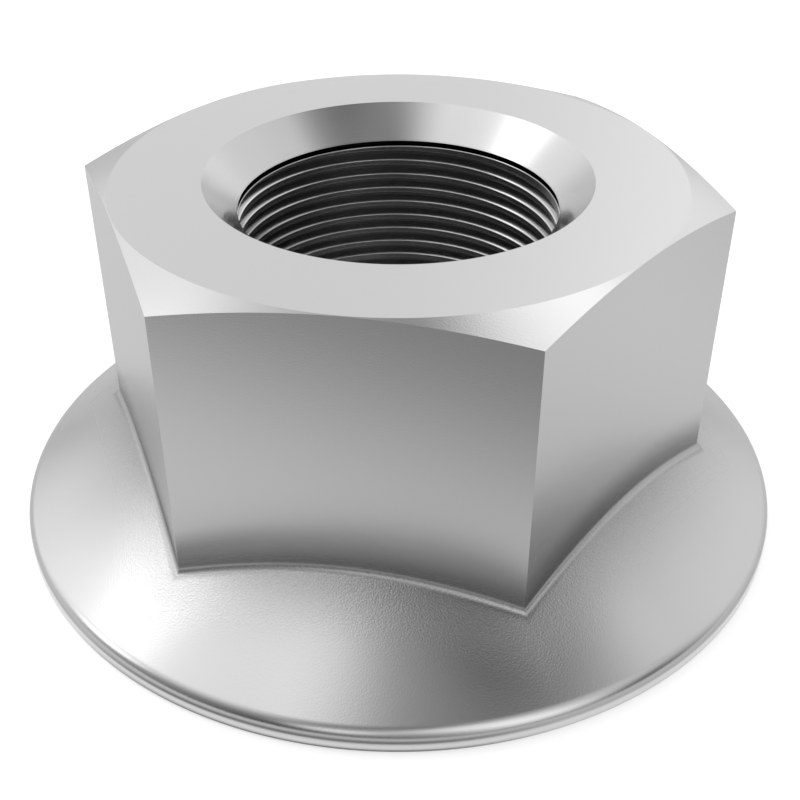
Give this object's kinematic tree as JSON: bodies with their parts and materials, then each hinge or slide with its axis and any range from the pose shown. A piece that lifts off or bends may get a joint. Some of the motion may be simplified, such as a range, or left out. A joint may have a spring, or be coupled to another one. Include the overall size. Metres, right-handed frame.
{
  "type": "flanged blade nut",
  "caption": "Heavy hexagon nut with a wide conical flange and a fine right-hand thread, which clamps a cutting blade on its spindle.",
  "frame": {"origin": "centre of the flat bearing face, which the nut stands on", "axes": "+Z along the thread's axis, from the bearing face to the hexagon's top; +X through one corner of the hexagon, so that two flats face +Y and -Y"},
  "size_m": [0.0493, 0.0492, 0.022],
  "materials": {
    "nut_steel": "satin, turned and lightly tumbled"
  },
  "bodies": {
    "root": {"blade_nut": "nut_steel"}
  },
  "joints": []
}
